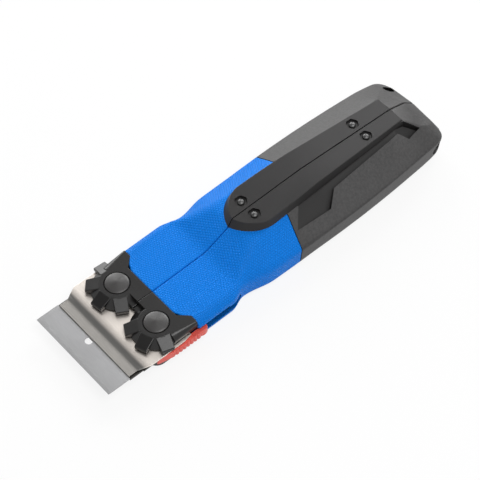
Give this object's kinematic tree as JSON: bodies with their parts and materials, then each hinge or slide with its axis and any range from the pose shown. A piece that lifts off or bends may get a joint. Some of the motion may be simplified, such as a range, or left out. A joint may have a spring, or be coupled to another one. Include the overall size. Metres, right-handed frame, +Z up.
{
  "type": "razor blade scraper",
  "caption": "Hand scraper with a wide razor blade in a sliding steel carriage, cog-shaped guards over the blade, soft side grips and a side slider that draws the blade in.",
  "frame": {"origin": "centre of the handle's flat underside, on the seam plane, 77 mm behind the blade's edge", "axes": "+X along the tool towards the blade's edge, +Y towards the slider's side, +Z up from the underside"},
  "size_m": [0.1555, 0.0421, 0.0213],
  "materials": {
    "handle_plastic": "dark grey, fine moulded texture",
    "grip_rubber": "blue soft grip with fine raised dots",
    "head_plastic": "black, half gloss",
    "spine_plastic": "black satin",
    "screw_steel": "blackened steel",
    "inner_plastic": "grey moulding, hidden",
    "inner_steel": "plain steel, hidden",
    "plate_steel": "bright rolled steel",
    "dark_steel": "blackened steel",
    "blade_steel": "satin grey with a ground edge",
    "slider_plastic": "red moulding, half gloss"
  },
  "bodies": {
    "housing": {"right_shell": "handle_plastic", "left_shell": "handle_plastic", "right_grip": "grip_rubber", "left_grip": "grip_rubber", "right_head_cover": "head_plastic", "left_head_cover": "head_plastic", "hub_plugs": "head_plastic", "lower_jaw": "head_plastic", "right_spine_cover": "spine_plastic", "left_spine_cover": "spine_plastic", "spine_screws": "screw_steel", "chassis": "inner_plastic", "right_guide_rail": "inner_steel", "left_guide_rail": "inner_steel", "detent_strip": "inner_steel", "travel_stop": "inner_plastic"},
    "carriage": {"carrier_top_plate": "plate_steel", "carrier_base_plate": "dark_steel", "carrier_rivets": "inner_steel", "blade": "blade_steel", "blade_back": "blade_steel", "slider_bracket": "inner_plastic", "slider_pins": "inner_steel", "lock_spring": "inner_steel"},
    "slider": {"slider_button": "slider_plastic", "latch_tab": "inner_steel"}
  },
  "joints": [
    {"name": "carriage_slide", "type": "slide", "parent": "housing", "child": "carriage", "axis": [1, 0, 0], "range_m": [-0.0165, 0]},
    {"name": "slider_press", "type": "slide", "parent": "carriage", "child": "slider", "axis": [0, -1, 0], "range_m": [0, 0.0015], "stiffness_N_per_m": 800, "deforming": ["lock_spring"]}
  ]
}
